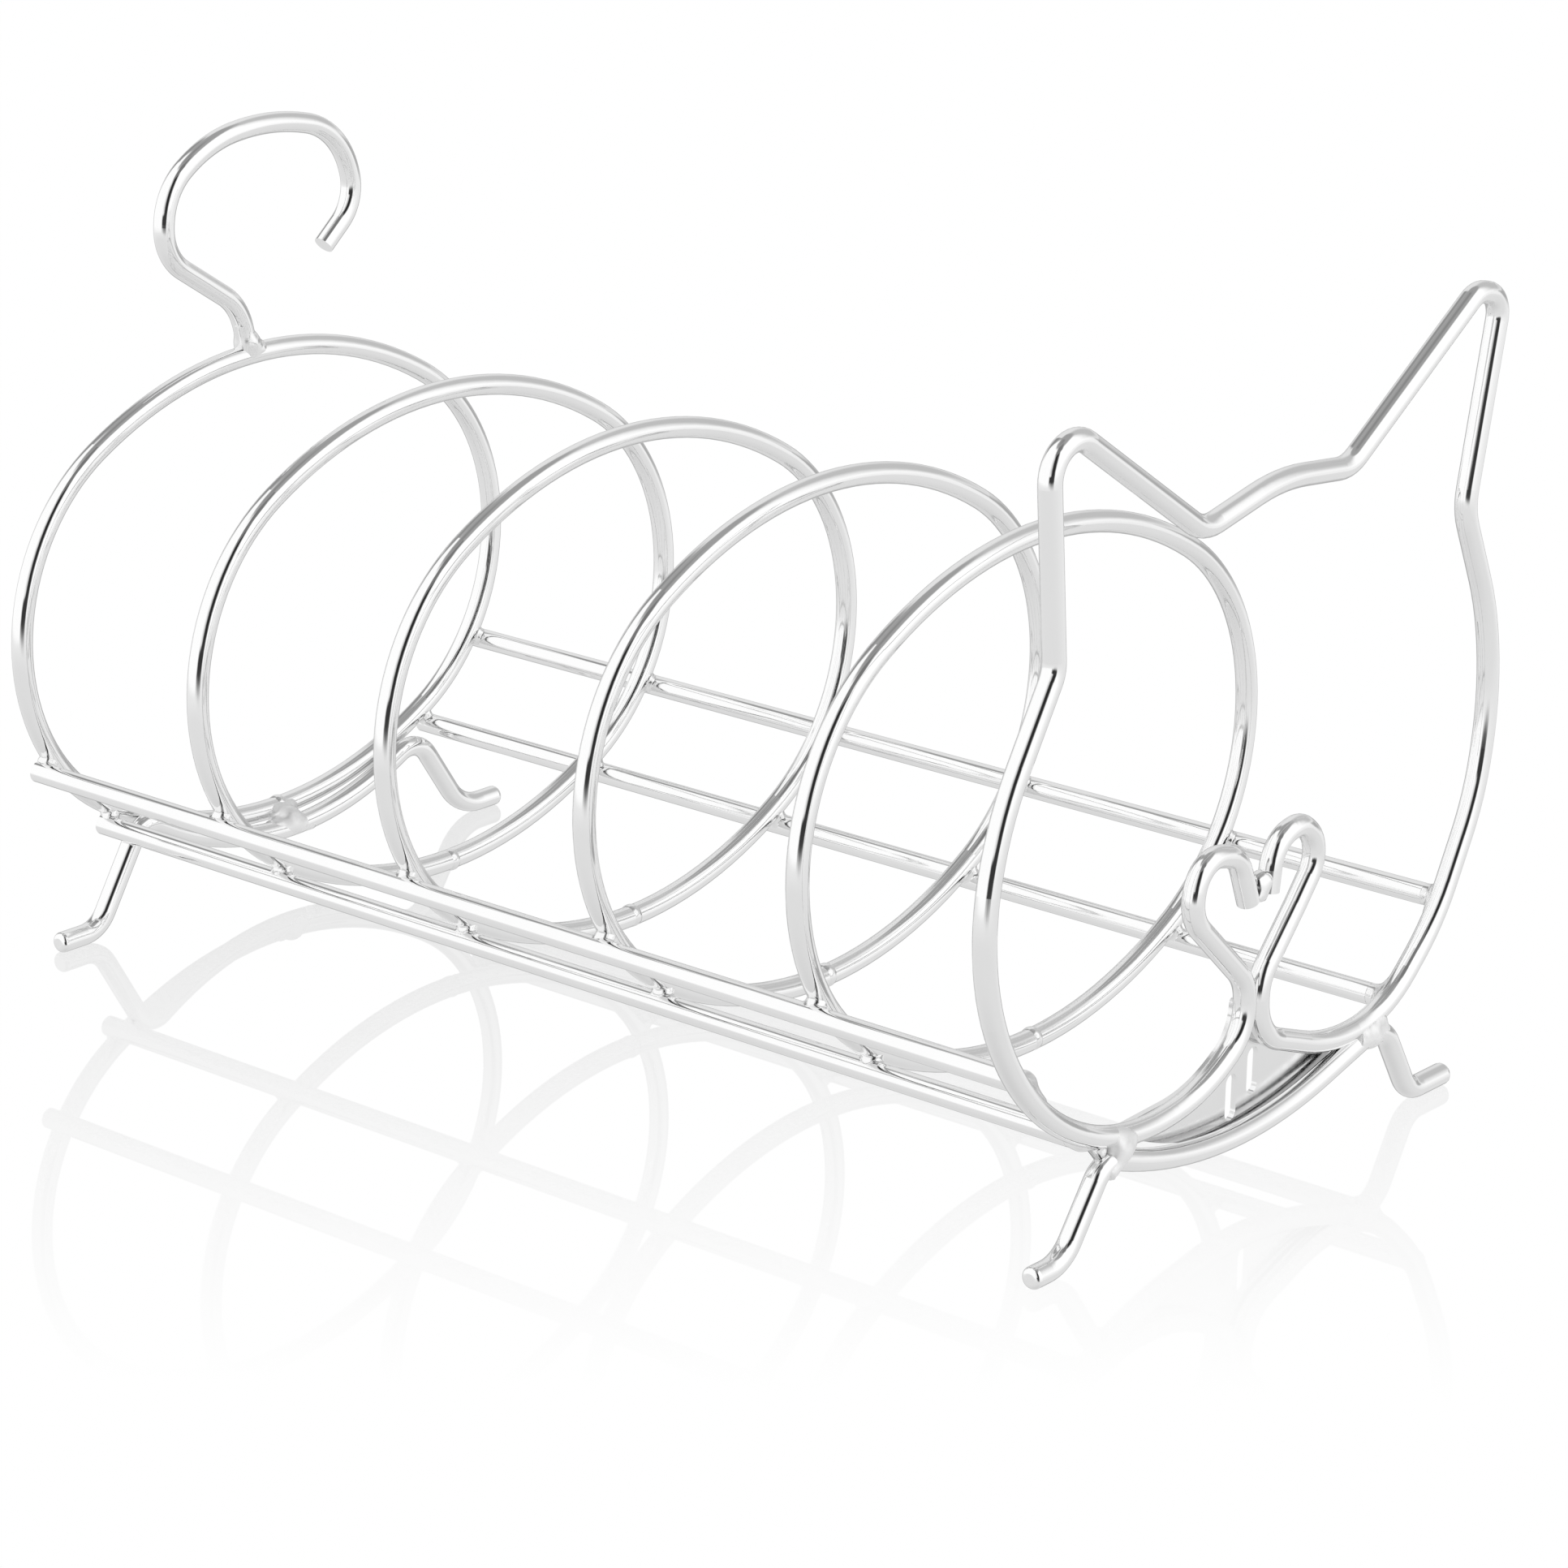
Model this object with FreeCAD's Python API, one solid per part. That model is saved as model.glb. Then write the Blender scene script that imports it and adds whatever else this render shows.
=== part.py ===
"""Wire toast rack: oval ring dividers on four rails, with a cat's face, a hooked tail and two leg wires.

Every wire lies in a plane across the rack, so it is drawn as (y, z) corners with bend radii, and swept.
Frame: +X to the face, +Y to the rack's left, +Z up, feet on z = 0. Millimetres.
"""
import FreeCAD
import Part
import math
import os

V = FreeCAD.Vector

# ---------------------------------------------------------------- driving dimensions
WIRE_R = 1.5                 # every wire is 3 mm stock
PITCH = 35.5                 # ring to ring, and last ring to face
RING_COUNT = 5
RING_1_X = -89.0             # the ring that carries the tail; the box is centred on x = 0
FACE_X = RING_1_X + RING_COUNT * PITCH

RING_Z = 45.0                # middle of a ring
RING_HALF_W = 48.0           # oval of four arcs, measured on the wire's centreline
RING_HALF_H = 35.1
RING_END_R = 30.3            # arcs at the two sides
BUTT_Y = 1.2                 # the closing weld is just left of the lowest point
BUTT_GAP = 1.3
BUTT_R = 1.66

RAIL_SEAT = 2.9              # rail centre outside the ring's centreline, set 0.1 mm into it
RAIL_UPPER_ANGLE = -33.8     # degrees round the side arc
RAIL_LOWER_Y = 33.2
RAIL_BACK_X = RING_1_X - 0.6
RAIL_FRONT_X = FACE_X - 3.3

# cat's face: one wire from the right end of the nose, round the head, to the left end of the nose
FACE = [
    (-1.7, 38.7, 0), (-4.4, 45.5, 4.8), (-12.4, 47.5, 4.4), (-14.4, 40.0, 5.3), (-1.6, 28.1, 6.2),
    (-1.1, 21.3, 6.9), (-9.9, 15.3, 26.2), (-27.1, 13.3, 33.4), (-49.1, 24.0, 35.4), (-57.1, 45.3, 33.2),
    (-54.7, 61.5, 38.7), (-44.3, 78.7, 4.4), (-46.6, 104.4, 4.3), (-41.6, 107.0, 4.6), (-15.2, 90.0, 6.6),
    (1.0, 93.4, 33.8), (15.9, 91.9, 6.2), (43.7, 109.9, 4.1), (49.6, 108.5, 3.4), (43.8, 80.9, 8.0),
    (50.0, 67.7, 35.2), (53.3, 55.7, 42.6), (50.7, 39.9, 33.7), (42.4, 24.4, 30.0), (31.0, 14.3, 19.8),
    (18.0, 13.7, 30.0), (1.7, 19.5, 7.0), (1.5, 27.3, 6.0), (8.9, 35.5, 8.2), (14.7, 42.4, 4.5),
    (9.2, 46.5, 3.7), (3.4, 45.6, 4.8), (2.6, 39.0, 0),
]

# tail: from the top of ring 1, over and down to its cut end
TAIL = [
    (-3.2, 81.2, 0), (-5.0, 87.7, 8.6), (-19.4, 96.9, 7.4), (-18.7, 106.2, 9.6), (-10.4, 112.2, 22.0),
    (2.2, 113.8, 38.0), (16.2, 110.6, 11.5), (19.1, 99.4, 6.8), (12.5, 93.7, 0),
]

# leg wires: foot, ankle, shoulder, the arc that carries the rack, and the same again to the left
LEG_REAR = [
    (-45.7, WIRE_R, 0), (-38.1, WIRE_R, 5.0), (-29.0, 16.4, 3.5), (-1.2, 0.7, 51.3),
    (27.9, 15.3, 4.8), (37.5, WIRE_R, 8.0), (45.7, WIRE_R, 0),
]
LEG_FRONT = [
    (-45.7, WIRE_R, 0), (-39.4, WIRE_R, 6.0), (-31.1, 13.0, 4.2), (-5.6, 4.0, 74.3),
    (30.2, 13.5, 5.4), (37.5, WIRE_R, 4.5), (46.5, WIRE_R, 0),
]
LEG_REAR_X = RING_1_X + 3.02
LEG_FRONT_X = FACE_X + 0.4
FOOT_ROUND = 0.8

# plate between the nose and the front leg wire, behind the face
PLATE_T = 0.8
PLATE_X = FACE_X - WIRE_R - 0.01     # its front, resting against the back of the face wire
PLATE_TOP = [                # along the middle of the face wire, and level across the foot of the nose
    (-27.0, 14.8, 0), (-9.9, 15.5, 22.0), (-1.5, 21.0, 6.5), (-1.5, 25.0, 0.6),
    (1.6, 25.0, 0.6), (1.7, 19.5, 7.0), (18.0, 13.7, 30.0), (27.0, 14.2, 0),
]
PLATE_SAG_Z = 7.2            # lowest point of its curved bottom edge
SLOTS = [(-1.3, 11.6), (3.3, 14.0)]   # centres of two plain round-ended slots
SLOT_LEN, SLOT_W = 6.4, 2.4

# welds
NUGGET_R = 1.75              # where a ring crosses a rail
COLLAR_R = 1.25              # rail end to face wire
BLOB_R = 2.3                 # leg wire to face wire

# The face is bent a little wider to the right, so the rack's mid-plane stands left of the box's middle.
MID_PLANE_Y = 1.85


# ---------------------------------------------------------------- helpers
def arc_edge(p, centre, q):
    """Arc from p to q, the short way round centre."""
    mid = (p - centre) + (q - centre)
    mid.normalize()
    return Part.Arc(p, centre + mid * (p - centre).Length, q).toShape()


def bent_path(corners, x):
    """Straight runs joined by tangent arcs, in the plane at x."""
    pts = [V(x, y, z) for y, z, _ in corners]
    edges, start = [], pts[0]
    for i in range(1, len(pts) - 1):
        to_last = (pts[i - 1] - pts[i]).normalize()
        to_next = (pts[i + 1] - pts[i]).normalize()
        half = to_last.getAngle(to_next) / 2
        radius = corners[i][2]
        reach = radius / math.tan(half)
        p, q = pts[i] + to_last * reach, pts[i] + to_next * reach
        centre = pts[i] + (to_last + to_next).normalize() * (radius / math.sin(half))
        if (p - start).Length > 1e-4:
            edges.append(Part.LineSegment(start, p).toShape())
        edges.append(arc_edge(p, centre, q))
        start = q
    edges.append(Part.LineSegment(start, pts[-1]).toShape())
    return Part.Wire(edges)


def sweep(path, radius=WIRE_R):
    """Round wire along a path."""
    first = path.OrderedEdges[0]
    start = first.valueAt(first.FirstParameter)
    along = first.tangentAt(first.FirstParameter)
    ring = Part.Wire([Part.makeCircle(radius, start, along)])
    return path.makePipeShell([ring], True, True)


def cylinder(p, q, radius):
    return Part.makeCylinder(radius, (q - p).Length, p, q - p)


def ball(centre, radius, poles=V(0, 0, 1)):
    """Sphere; the direction of its poles matters only to the cuts made in it."""
    return Part.makeSphere(radius, centre, poles)


def leg_wire(corners, x):
    """One leg wire with its two foot ends rounded."""
    wire = sweep(bent_path(corners, x))
    feet = [V(x, *corners[0][:2]), V(x, *corners[-1][:2])]
    rims = [e for e in wire.Edges
            if isinstance(e.Curve, Part.Circle) and min((e.CenterOfMass - foot).Length for foot in feet) < 0.1]
    return wire.makeFillet(FOOT_ROUND, rims)


# ---------------------------------------------------------------- rings
side_y = RING_HALF_W - RING_END_R
flat_r = (side_y ** 2 + RING_HALF_H ** 2 - RING_END_R ** 2) / (2 * (RING_HALF_H - RING_END_R))
flat_dz = flat_r - RING_HALF_H
join = math.atan2(flat_dz, side_y)     # angle round the side arc where the flatter arc begins


def on_side(angle, x, side=1, radius=RING_END_R):
    """Point round one of the side arcs, angle up from level."""
    return V(x, side * (side_y + radius * math.cos(angle)), RING_Z + radius * math.sin(angle))


def on_bottom(y, x):
    return V(x, y, RING_Z + flat_dz - math.sqrt(flat_r ** 2 - y ** 2))


def ring_path(x):
    """The oval, open by the butt weld's width."""
    left, right = on_bottom(BUTT_Y + BUTT_GAP / 2, x), on_bottom(BUTT_Y - BUTT_GAP / 2, x)
    below, above = V(x, 0, RING_Z + flat_dz), V(x, 0, RING_Z - flat_dz)
    ends = [left, on_side(-join, x), on_side(join, x), on_side(join, x, -1), on_side(-join, x, -1), right]
    centres = [below, V(x, side_y, RING_Z), above, V(x, -side_y, RING_Z), below]
    return Part.Wire([arc_edge(p, c, q) for p, c, q in zip(ends, centres, ends[1:])])


def butt_weld(x, length):
    """Wire of the weld's thickness along the bottom of a ring."""
    ends = [on_bottom(BUTT_Y - length / 2, x), on_bottom(BUTT_Y + length / 2, x)]
    return sweep(Part.Wire([arc_edge(ends[0], V(x, 0, RING_Z + flat_dz), ends[1])]), BUTT_R)


ring_x = [RING_1_X + k * PITCH for k in range(RING_COUNT)]
rings = [sweep(ring_path(x)) for x in ring_x]
butts = [butt_weld(x, BUTT_GAP) for x in ring_x]

# ---------------------------------------------------------------- face, tail and legs
face = sweep(bent_path(FACE, FACE_X))
tail = sweep(bent_path(TAIL, RING_1_X)).cut(rings[0])
leg_rear = leg_wire(LEG_REAR, LEG_REAR_X)
leg_front = leg_wire(LEG_FRONT, LEG_FRONT_X)
leg_front = leg_front.cut(face)

# ---------------------------------------------------------------- rails
upper = math.radians(RAIL_UPPER_ANGLE)
seat = RAIL_SEAT + RING_END_R
upper_yz = (side_y + seat * math.cos(upper), RING_Z + seat * math.sin(upper))
lower_yz = (RAIL_LOWER_Y, RING_Z + flat_dz - math.sqrt((flat_r + RAIL_SEAT) ** 2 - RAIL_LOWER_Y ** 2))


def across(shape):
    """The same thing on the other side of the rack."""
    return shape.mirror(V(0, 0, 0), V(0, 1, 0))


rails, crossings, collars = {}, {}, []
for level, (y, z) in (("upper", upper_yz), ("lower", lower_yz)):
    bar = cylinder(V(RAIL_BACK_X, y, z), V(RAIL_FRONT_X, y, z), WIRE_R)
    nuggets = []
    for x, ring in zip(ring_x, rings):
        hub = V(x, 0, RING_Z + flat_dz) if level == "lower" else V(x, side_y, RING_Z)
        contact = V(x, y, z) + (hub - V(x, y, z)).normalize() * (RAIL_SEAT / 2)
        nuggets += ball(contact, NUGGET_R).cut(Part.makeCompound([ring, bar])).Solids
    rails[f"{level}_left"] = bar.cut(Part.makeCompound(rings))
    rails[f"{level}_right"] = across(rails[f"{level}_left"])
    crossings[f"{level}_left"] = Part.makeCompound(nuggets)
    crossings[f"{level}_right"] = across(crossings[f"{level}_left"])
    for side in (1, -1):
        collar = cylinder(V(RAIL_FRONT_X, side * y, z), V(FACE_X, side * y, z), COLLAR_R).cut(face)
        collars.append(min(collar.Solids, key=lambda solid: solid.CenterOfMass.x))

# ---------------------------------------------------------------- plate
left, right = (V(PLATE_X, *PLATE_TOP[end][:2]) for end in (0, -1))
bottom = Part.Arc(right, V(PLATE_X, 0, PLATE_SAG_Z), left).toShape()
outline = Part.Wire(bent_path(PLATE_TOP, PLATE_X).Edges + [bottom])
plate = Part.Face(outline).extrude(V(-PLATE_T, 0, 0))
for y, z in SLOTS:
    half = (SLOT_LEN - SLOT_W) / 2
    foot, head = V(PLATE_X - 2, y, z - half), V(PLATE_X - 2, y, z + half)
    slot = Part.makeBox(4, SLOT_W, 2 * half, V(PLATE_X - 2, y - SLOT_W / 2, z - half))
    for p in (foot, head):
        slot = slot.fuse(Part.makeCylinder(SLOT_W / 2, 4, p, V(1, 0, 0)))
    plate = plate.cut(slot)


# ---------------------------------------------------------------- weld metal at the other joints
def bead(centre, radius, *wires):
    """What is left of a ball round a joint once the wires are taken out."""
    left = ball(centre, radius, V(0, 1, 0))
    for wire in wires:
        left = left.cut(wire)
    return Part.makeCompound([s for s in left.Solids if s.Volume > 0.05])


weld_tail = bead(V(RING_1_X, TAIL[0][0], 81.7), 2.15, rings[0], tail)
weld_muzzle = bead(V(FACE_X, 0.15, 40.9), 1.9, face)
weld_leg_rear = bead(V((LEG_REAR_X + RING_1_X) / 2, BUTT_Y, 9.1), 2.0, butt_weld(RING_1_X, 8.0), leg_rear)
blobs = [bead(V(FACE_X + 0.4, y, 13.2), BLOB_R, face, leg_front) for y in (-28.4, 27.2)]

nodes = {f"ring_{k + 1}": ring for k, ring in enumerate(rings)}
nodes.update({f"rail_{name}": bar for name, bar in rails.items()})
nodes.update(face_wire=face, tail_wire=tail, leg_wire_front=leg_front, leg_wire_rear=leg_rear,
             chin_plate=plate)
nodes.update({f"welds_rail_{name}": weld for name, weld in crossings.items()})
nodes.update(welds_ring_butts=Part.makeCompound(butts), welds_rail_ends=Part.makeCompound(collars),
             weld_tail=weld_tail, weld_nose=weld_muzzle, weld_leg_rear=weld_leg_rear,
             welds_leg_front=Part.makeCompound(blobs))

os.makedirs("parts", exist_ok=True)
for name, shape in nodes.items():
    shape.translate(V(0, MID_PLANE_Y, 0))
    print(f"{name:24s} solids {len(shape.Solids):2d} valid {shape.isValid()} volume {shape.Volume:9.2f}")
    shape.exportStep(f"parts/{name}.step")
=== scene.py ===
"""Looks for the wire toast rack: polished chrome wire, weld metal, and a white studio with a glossy floor.

Metres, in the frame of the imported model: +X to the face, +Y to the rack's left, +Z up.
"""

import math
import bmesh
import bpy
import numpy as np
from mathutils import Matrix, Vector


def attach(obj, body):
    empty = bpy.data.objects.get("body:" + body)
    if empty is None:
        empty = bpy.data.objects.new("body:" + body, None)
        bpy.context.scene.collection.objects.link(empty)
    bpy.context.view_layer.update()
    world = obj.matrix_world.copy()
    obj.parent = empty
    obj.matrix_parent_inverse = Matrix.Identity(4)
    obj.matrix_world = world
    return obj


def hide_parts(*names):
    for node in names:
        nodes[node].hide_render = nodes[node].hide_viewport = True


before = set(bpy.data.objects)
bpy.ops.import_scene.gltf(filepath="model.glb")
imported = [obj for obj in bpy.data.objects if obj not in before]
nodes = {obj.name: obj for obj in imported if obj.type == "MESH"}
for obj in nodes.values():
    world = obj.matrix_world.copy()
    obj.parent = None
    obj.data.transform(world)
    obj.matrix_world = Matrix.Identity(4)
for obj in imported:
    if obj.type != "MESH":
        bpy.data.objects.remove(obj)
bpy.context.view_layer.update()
scene = bpy.context.scene

# ---------------------------------------------------------------- camera
CAMERA_AT = Vector((0.42394, -0.49483, 0.25195))
CAMERA_FORWARD = Vector((-0.60673, 0.72914, -0.31658))
CAMERA_RIGHT = Vector((0.76523, 0.64357, 0.01568))
LENS = 115.04

camera = bpy.data.objects.new("camera", bpy.data.cameras.new("camera"))
scene.collection.objects.link(camera)
back = -CAMERA_FORWARD.normalized()
right = (CAMERA_RIGHT - back * CAMERA_RIGHT.dot(back)).normalized()
turn = Matrix((right, back.cross(right), back)).transposed()
camera.matrix_world = Matrix.Translation(CAMERA_AT) @ turn.to_4x4()
camera.data.sensor_width = 36
camera.data.lens = LENS
camera.data.clip_start, camera.data.clip_end = 0.01, 20
scene.camera = camera


# ---------------------------------------------------------------- material helpers
def new_material(name):
    """An empty node material with its Principled shader, ready to be wired."""
    material = bpy.data.materials.new(name)
    material.use_nodes = True
    return material, material.node_tree, material.node_tree.nodes["Principled BSDF"]


def node(tree, kind, **settings):
    made = tree.nodes.new(kind)
    for key, value in settings.items():
        if key in made.inputs:
            made.inputs[key].default_value = value
        else:
            setattr(made, key, value)
    return made


def math_node(tree, operation, *values):
    made = node(tree, "ShaderNodeMath", operation=operation)
    for socket, value in zip(made.inputs, values):
        if isinstance(value, (int, float)):
            socket.default_value = value
        else:
            tree.links.new(value, socket)
    return made.outputs[0]


# ---------------------------------------------------------------- chrome
TINT_SPREAD = 0.02              # patches of the plating are this much lighter or darker
PATCH_SCALE, SMEAR_SCALE, WAVE_SCALE, GRAIN_SCALE = 90, 700, 160, 1800      # of the noises, per metre
SMEAR_RANGE = (0.35, 0.75)      # noise values between polished and smeared
SMEARED = 2.2                   # a smear is this many times rougher than the polish


def chrome(name, brightness, roughness, waviness, grain):
    """Polished chrome.

    Waviness is the slow unevenness of drawn and bent wire, grain its fine polishing marks, both in metres.
    """
    material, tree, shader = new_material(name)
    place = node(tree, "ShaderNodeTexCoord").outputs["Object"]
    shader.inputs["Metallic"].default_value = 1

    def noise_map(scale, detail):
        noise = node(tree, "ShaderNodeTexNoise", Scale=scale, Detail=detail)
        tree.links.new(place, noise.inputs["Vector"])
        return noise.outputs["Fac"]

    def map_noise(noise, from_range, to_range, target):
        settings = zip(("From Min", "From Max", "To Min", "To Max"), (*from_range, *to_range))
        mapped = node(tree, "ShaderNodeMapRange", **dict(settings))
        tree.links.new(noise, mapped.inputs["Value"])
        tree.links.new(mapped.outputs["Result"], shader.inputs[target])

    tints = (brightness - TINT_SPREAD, brightness + TINT_SPREAD)
    map_noise(noise_map(PATCH_SCALE, 4), (0, 1), tints, "Base Color")
    map_noise(noise_map(SMEAR_SCALE, 5), SMEAR_RANGE, (roughness, roughness * SMEARED), "Roughness")

    slow = node(tree, "ShaderNodeBump", Strength=1.0, Distance=waviness)
    fine = node(tree, "ShaderNodeBump", Strength=1.0, Distance=grain)
    tree.links.new(noise_map(WAVE_SCALE, 1), slow.inputs["Height"])
    tree.links.new(noise_map(GRAIN_SCALE, 3), fine.inputs["Height"])
    tree.links.new(slow.outputs["Normal"], fine.inputs["Normal"])
    tree.links.new(fine.outputs["Normal"], shader.inputs["Normal"])
    return material


wire_metal = chrome("wire_chrome", 0.88, 0.05, 0.00002, 0.0000004)
plate_metal = chrome("plate_chrome", 0.84, 0.10, 0.00002, 0.0000004)
weld_metal = chrome("weld_chrome", 0.86, 0.10, 0.0001, 0.000004)
blob_metal = chrome("blob_chrome", 0.90, 0.38, 0.0001, 0.000004)      # the big welds are plated dull
for name, obj in nodes.items():
    metal = plate_metal if "plate" in name else weld_metal if "weld" in name else wire_metal
    obj.data.materials.clear()
    obj.data.materials.append(metal)


# ---------------------------------------------------------------- weld metal
MM = 0.001
WIRE_R = 1.5 * MM
SAME_POINT = 1e-7
# Ball of filler, how far it has flowed along the wires, softness of the fillet, height of its ripples,
# and how far the ball has run from the middle of the joint, forward and up. All in mm.
WELD_TYPES = {
    "welds_rail_upper": (0.95, 2.7, 0.24, 0.22, 0, 0),
    "welds_rail_lower": (0.95, 2.7, 0.24, 0.22, 0, 0),
    "welds_ring_butts": (1.68, 2.3, 0.10, 0.04, 0, 0),
    "welds_rail_ends": (1.35, 3.6, 0.34, 0.04, 0, 0),
    "weld_tail": (1.95, 4.0, 0.30, 0.04, 0, 0),
    "weld_nose": (1.15, 2.6, 0.22, 0.05, 0, 0),
    "weld_leg_rear": (2.15, 4.4, 0.34, 0.05, 1.0, -0.7),
    "welds_leg_front_bead_1": (1.90, 4.2, 0.42, 0, 0.1, 0.3),
    "welds_leg_front_bead_2": (1.45, 3.6, 0.36, 0, 0.3, -0.9),
}
RIPPLES = 6                     # waves added up for an uneven bead
RIPPLE_LENGTHS = (0.9 * MM, 2.2 * MM)
DRIFT = 0.06                    # how far a ball strays from the joint, and the spread of its size,
BALL_SPREAD = (0.95, 1.05)      # both as shares of its radius
RIM_SINK = 0.16 * MM            # how far a bead's rim goes under the wires' surface
FEWEST_POINTS = 12              # of a wire's mesh near a joint, for the wire to count as passing it
END_SHARE = 0.8                 # a wire that stops within this share of the reach ends inside the bead
MARCH_FROM, MARCH_STEPS, HALVINGS = 0.05, 24, 10        # the search for a bead's surface along a ray
LARGE_REACH = 3 * MM            # larger beads get a finer mesh
wires = {name: np.array([v.co for v in obj.data.vertices]) for name, obj in nodes.items()
         if "weld" not in name and "plate" not in name}


def islands(obj):
    """The middle of each separate solid in a CAD node."""
    bm = bmesh.new()
    bm.from_mesh(obj.data)
    bmesh.ops.remove_doubles(bm, verts=bm.verts, dist=SAME_POINT)
    left, centres = set(bm.verts), []
    while left:
        island, front = set(), [left.pop()]
        while front:
            vert = front.pop()
            island.add(vert)
            for edge in vert.link_edges:
                other = edge.other_vert(vert)
                if other in left:
                    left.remove(other)
                    front.append(other)
        corners = np.array([v.co for v in island])
        centres.append((corners.min(0) + corners.max(0)) / 2)
    bm.free()
    return sorted(centres, key=lambda c: tuple(c))


def axes_near(centre, reach):
    """Each wire that passes the joint, as a straight piece of its centreline."""
    found = []
    for name, points in wires.items():
        near = points[np.linalg.norm(points - centre, axis=1) < reach]
        if len(near) < FEWEST_POINTS:
            continue
        if name.startswith("rail"):         # straight, so the whole of it gives its line and its ends
            near = points
            middle, along = (points.min(0) + points.max(0)) / 2, np.array((1.0, 0, 0))
        else:
            middle = near.mean(0)
            along = np.linalg.svd(near - middle, full_matrices=False)[2][0]
        middle = middle + along * np.dot(centre - middle, along)
        travel = (near - middle) @ along
        found.append((middle, along, travel.min(), travel.max()))
    return found


def weld_bead(name, centre, ball, reach, softness, ripple, seed):
    """A bead round a joint: filler metal that flows out along each wire and sinks into it at the rim."""
    rng = np.random.default_rng(seed)
    drop = centre + rng.normal(0, DRIFT, 3) * ball
    waves = rng.normal(0, 1, (RIPPLES, 3))
    waves *= (2 * math.pi / rng.uniform(*RIPPLE_LENGTHS, RIPPLES) / np.linalg.norm(waves, axis=1))[:, None]
    ball *= rng.uniform(*BALL_SPREAD)
    axes = axes_near(centre, reach)

    def rounded_end(end):
        """Where a wire's round end starts, if it stops in the bead, or else a place well outside the bead."""
        return end - math.copysign(WIRE_R, end) if abs(end) < END_SHARE * reach else end * 2

    def field(points):
        """Negative inside the metal."""
        gaps = [np.linalg.norm(points - drop, axis=1) - ball]
        for middle, along, low, high in axes:
            travel = np.clip((points - middle) @ along, rounded_end(low), rounded_end(high))
            gaps.append(np.linalg.norm(points - middle - travel[:, None] * along, axis=1) - WIRE_R)
        blend = -softness * np.log(sum(np.exp(-gap / softness) for gap in gaps))
        away = np.linalg.norm(points - centre, axis=1) / reach
        uneven = ripple * np.sin((points - centre) @ waves.T).mean(1) * np.maximum(1 - away, 0)
        return blend + RIM_SINK * away ** 2 + uneven

    bm = bmesh.new()
    bmesh.ops.create_icosphere(bm, subdivisions=5 if reach > LARGE_REACH else 4, radius=1)
    rays = np.array([v.co.normalized() for v in bm.verts])
    inner, outer = np.zeros(len(rays)), np.full(len(rays), reach)
    still_in = np.ones(len(rays), bool)
    for part in np.linspace(MARCH_FROM, 1, MARCH_STEPS):       # the first way out of the metal along each ray
        out = field(centre + rays * (part * reach)) > 0
        outer[still_in & out] = part * reach
        still_in &= ~out
        inner[still_in] = part * reach
    for _ in range(HALVINGS):
        half = (inner + outer) / 2
        solid = field(centre + rays * half[:, None]) < 0
        inner, outer = np.where(solid, half, inner), np.where(solid, outer, half)
    for vert, ray, length in zip(bm.verts, rays, inner):
        vert.co = Vector(centre + ray * length)
    mesh = bpy.data.meshes.new(name)
    bm.to_mesh(mesh)
    bm.free()
    mesh.shade_smooth()
    mesh.materials.append(blob_metal if "leg" in name else weld_metal)
    bead = bpy.data.objects.new(name, mesh)
    scene.collection.objects.link(bead)
    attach(bead, "root")
    return bead


for name, obj in nodes.items():
    if "weld" in name:
        for number, middle in enumerate(islands(obj)):
            bead_name = f"{name}_bead_{number + 1}"
            kind = next(k for k in WELD_TYPES if bead_name.startswith(k))
            ball, reach, softness, ripple, forward, up = (value * MM for value in WELD_TYPES[kind])
            bead = weld_bead(bead_name, middle + np.array((forward, 0, up)), ball, reach, softness, ripple,
                             number + len(name))
            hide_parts(name)


# ---------------------------------------------------------------- studio
# A glossy sheet that only the camera sees, and a clear one just over it. A ray that the floor has mirrored
# has been through the clear sheet, so the studio can light the mirror image evenly, without the glints of
# the rack itself.
CLEAR_Z = 0.05 * MM
FLOOR_HALF = 6.0                # half the floor's side
# The floor's gloss grows from none to FLOOR_GLOSS between these distances from the rack's middle. They are
# measured away from the camera.
GLOSS_FROM, GLOSS_TO, FLOOR_GLOSS = -0.12, 0.05, 0.36
floor_mesh = bpy.data.meshes.new("floor")
corners = ((-1, -1), (1, -1), (1, 1), (-1, 1))
floor_mesh.from_pydata([(x * FLOOR_HALF, y * FLOOR_HALF, z) for z in (0, CLEAR_Z) for x, y in corners],
                       [], [(0, 1, 2, 3), (4, 5, 6, 7)])
floor = bpy.data.objects.new("floor", floor_mesh)
scene.collection.objects.link(floor)
floor_white = bpy.data.materials.new("floor_white")
floor_white.use_nodes = True
tree = floor_white.node_tree
tree.nodes.clear()
path = node(tree, "ShaderNodeLightPath")
spot = node(tree, "ShaderNodeSeparateXYZ")
tree.links.new(node(tree, "ShaderNodeNewGeometry").outputs["Position"], spot.inputs[0])
# how far back a point of the floor lies, along the level direction the camera looks in
level = Vector((CAMERA_FORWARD.x, CAMERA_FORWARD.y)).normalized()
depth = math_node(tree, "ADD", math_node(tree, "MULTIPLY", spot.outputs["X"], level.x),
                  math_node(tree, "MULTIPLY", spot.outputs["Y"], level.y))
polish = node(tree, "ShaderNodeMapRange",
              **{"From Min": GLOSS_FROM, "From Max": GLOSS_TO, "To Min": 0.0, "To Max": FLOOR_GLOSS})
tree.links.new(depth, polish.inputs["Value"])
mirror = node(tree, "ShaderNodeBsdfGlossy", Roughness=0.0, Color=(1, 1, 1, 1))
white = node(tree, "ShaderNodeEmission", Strength=1.0)
unseen = node(tree, "ShaderNodeBsdfTransparent")
shown = node(tree, "ShaderNodeMixShader")
tree.links.new(polish.outputs["Result"], shown.inputs[0])
tree.links.new(white.outputs[0], shown.inputs[1])
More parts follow.
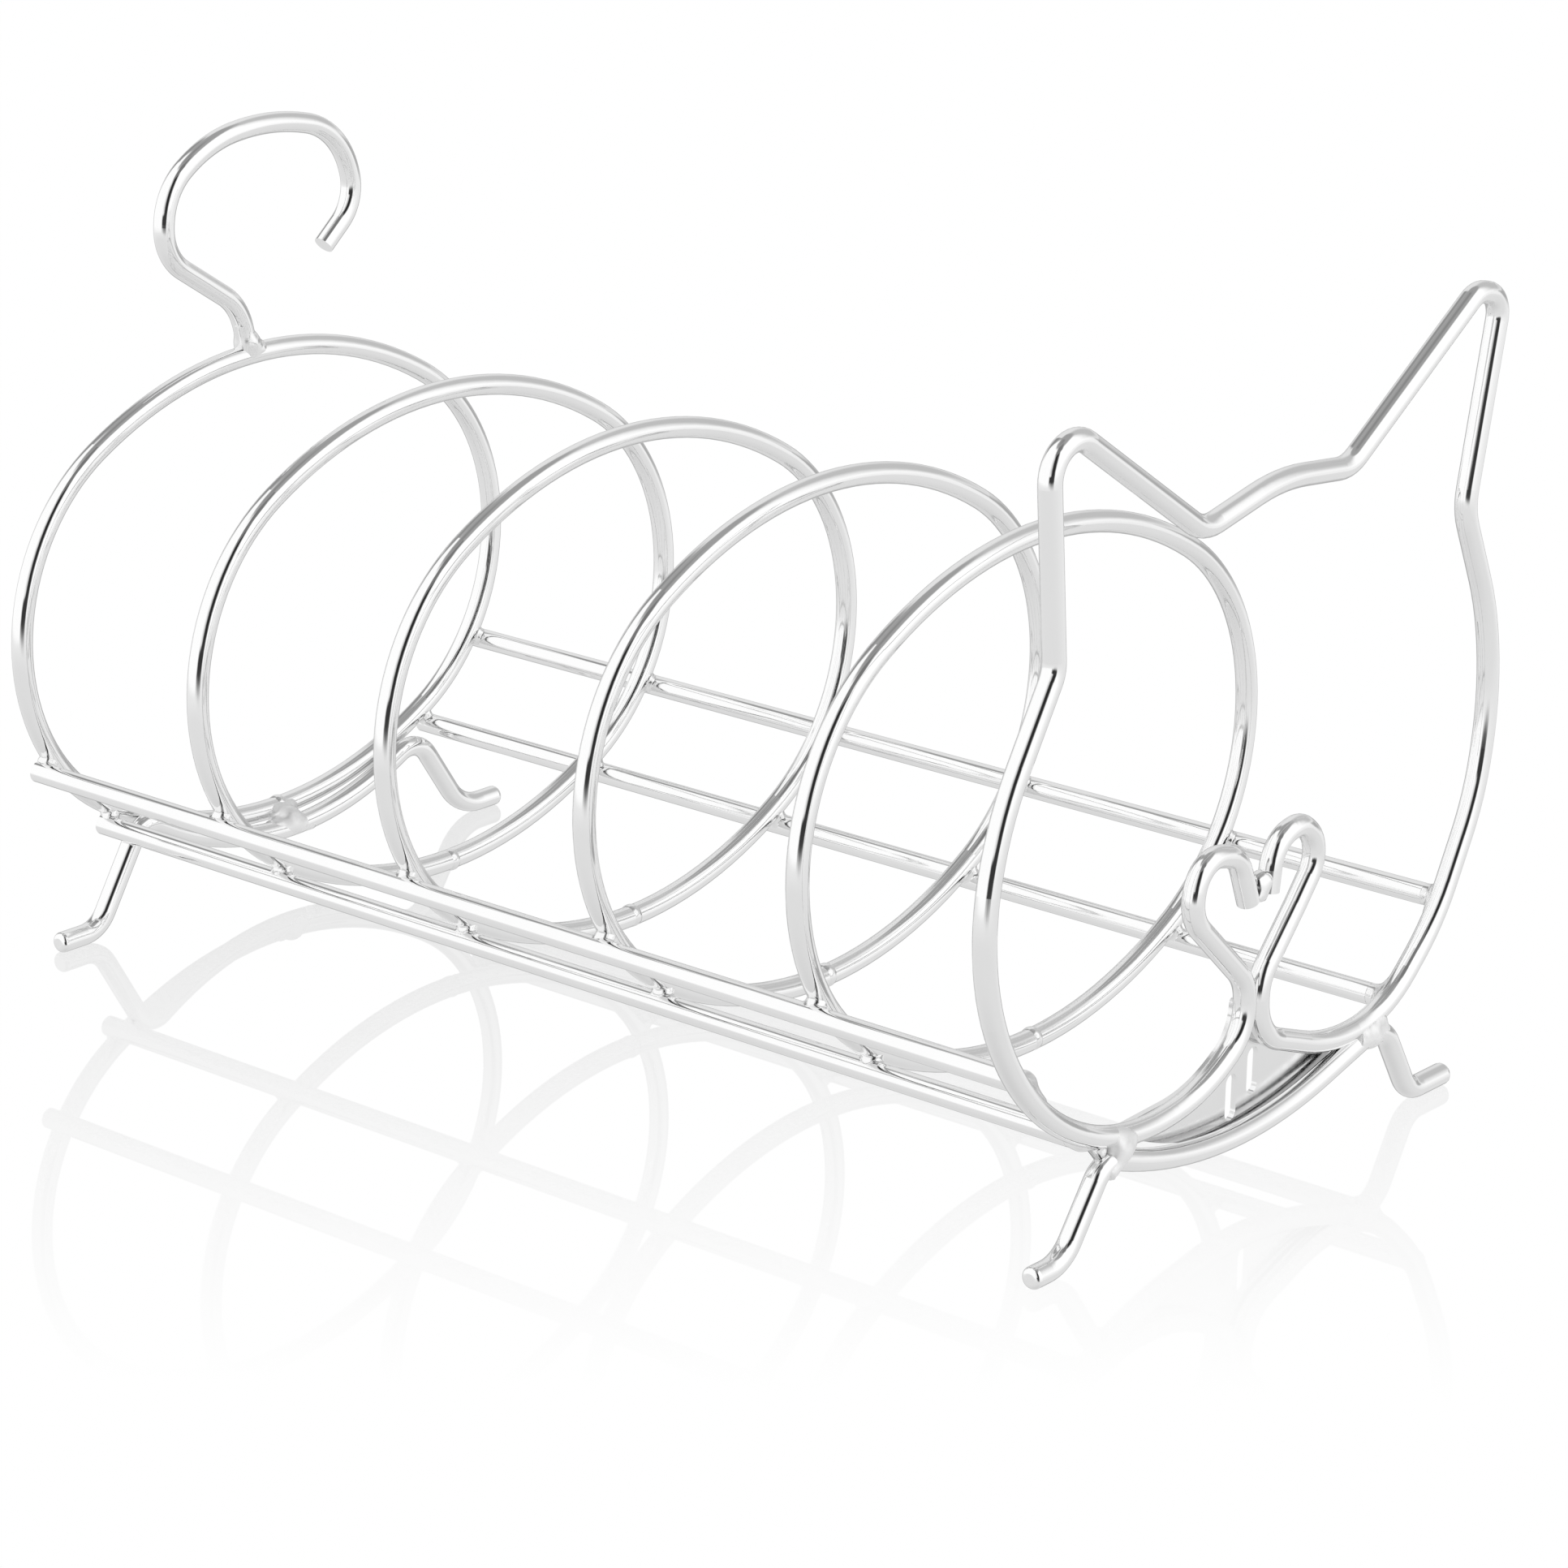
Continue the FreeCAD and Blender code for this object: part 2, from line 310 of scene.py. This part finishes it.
tree.links.new(mirror.outputs[0], shown.inputs[2])
surface = node(tree, "ShaderNodeMixShader")
tree.links.new(path.outputs["Is Camera Ray"], surface.inputs[0])
tree.links.new(unseen.outputs[0], surface.inputs[1])
tree.links.new(shown.outputs[0], surface.inputs[2])
tree.links.new(surface.outputs[0], node(tree, "ShaderNodeOutputMaterial").inputs["Surface"])
clear = bpy.data.materials.new("floor_clear")
clear.use_nodes = True
tree = clear.node_tree
tree.nodes.clear()
tree.links.new(node(tree, "ShaderNodeBsdfTransparent").outputs[0],
               node(tree, "ShaderNodeOutputMaterial").inputs["Surface"])
floor_mesh.materials.append(floor_white)
floor_mesh.materials.append(clear)
floor_mesh.polygons[1].material_index = 1

world = bpy.data.worlds.new("studio")
scene.world = world
world.use_nodes = True
tree = world.node_tree
direction = node(tree, "ShaderNodeSeparateXYZ")
tree.links.new(node(tree, "ShaderNodeTexCoord").outputs["Generated"], direction.inputs[0])


def degrees(kind, *values):
    angle = math_node(tree, kind, *values)
    return math_node(tree, "DEGREES", angle)


AZIMUTH = degrees("ARCTAN2", direction.outputs["Y"], direction.outputs["X"])
ELEVATION = degrees("ARCSINE", direction.outputs["Z"])


def rise(value, start, end):
    """0 below start, 1 above end, smooth between."""
    ramp = node(tree, "ShaderNodeMapRange", interpolation_type="SMOOTHSTEP")
    tree.links.new(value, ramp.inputs["Value"])
    ramp.inputs["From Min"].default_value, ramp.inputs["From Max"].default_value = start, end
    return ramp.outputs["Result"]


def panel(azimuths, elevations):
    """1 inside a window of the studio. Its edges fade in and out between pairs of angles, in degrees."""
    (a0, a1, a2, a3), (e0, e1, e2, e3) = azimuths, elevations
    across = math_node(tree, "SUBTRACT", rise(AZIMUTH, a0, a1), rise(AZIMUTH, a2, a3))
    up = math_node(tree, "SUBTRACT", rise(ELEVATION, e0, e1), rise(ELEVATION, e2, e3))
    return math_node(tree, "MULTIPLY", across, up)


def brighten(light, mask, level):
    """Light where mask is 0, level where mask is 1."""
    blend = node(tree, "ShaderNodeMix", data_type="FLOAT")
    tree.links.new(mask, blend.inputs["Factor"])
    for socket, value in (("A", light), ("B", level)):
        if isinstance(value, (int, float)):
            blend.inputs[socket].default_value = value
        else:
            tree.links.new(value, blend.inputs[socket])
    return blend.outputs["Result"]


ALL_ROUND = (-200, -190, 190, 200)
STUDIO = [                       # (azimuths, elevations, brightness), painted one over the other
    (ALL_ROUND, (-90, -25, 91, 92), 0.82),            # table, brighter far out
    (ALL_ROUND, (-25, -8, 91, 92), 0.95),
    (ALL_ROUND, (2, 16, 91, 92), 0.58),               # grey back wall
    ((100, 125, 148, 160), (8, 20, 52, 68), 0.85),    # brighter patch of it
    ((62, 70, 92, 104), (-12, -4, 2, 8), 0.45),       # its foot
    ((88, 108, 152, 174), (-52, -34, -4, 10), 0.46),  # beyond the rack, as its edges reflect it
    ((150, 160, 172, 180), (6, 20, 42, 75), 0.30),    # gap at its end
    (ALL_ROUND, (54, 64, 91, 92), 0.38),              # ceiling
    (ALL_ROUND, (74, 86, 91, 92), 0.28),
    ((-200, -190, -78, -50), (-14, -8, 66, 75), 1.12),    # left soft box, split where the azimuth wraps
    ((172, 184, 190, 200), (-14, -8, 66, 75), 1.12),
    ((-22, -14, 40, 74), (-14, 8, 52, 62), 1.18),     # right soft box
    ((-58, -46, -28, -17), (-19, -2, 48, 56), 0.025),  # dark room behind the camera
    ((-74, -60, -26, -17), (-16, -3, 4, 9), 0.04),
    ((-68, -56, -14, 2), (48, 54, 70, 80), 0.2),
]
EVEN_LIGHT, EVENNESS = 0.5, 0.85   # on the wires as the floor mirrors them
light = 0.70                     # table, straight down
for azimuths, elevations, level in STUDIO:
    light = brighten(light, panel(azimuths, elevations), level)
path = node(tree, "ShaderNodeLightPath")
# a ray that leaves downward goes through both sheets once more
downward = math_node(tree, "LESS_THAN", direction.outputs["Z"], 0)
passes = math_node(tree, "SUBTRACT", path.outputs["Transparent Depth"],
                   math_node(tree, "MULTIPLY", downward, 2))
mirrored = math_node(tree, "GREATER_THAN", passes, 0.5)
light = brighten(light, math_node(tree, "MULTIPLY", mirrored, EVENNESS), EVEN_LIGHT)
backdrop = math_node(tree, "MAXIMUM", path.outputs["Is Camera Ray"], path.outputs["Is Singular Ray"])
seen = brighten(light, backdrop, 1.0)
tree.links.new(seen, tree.nodes["Background"].inputs["Color"])
scene.view_settings.view_transform = "Standard"
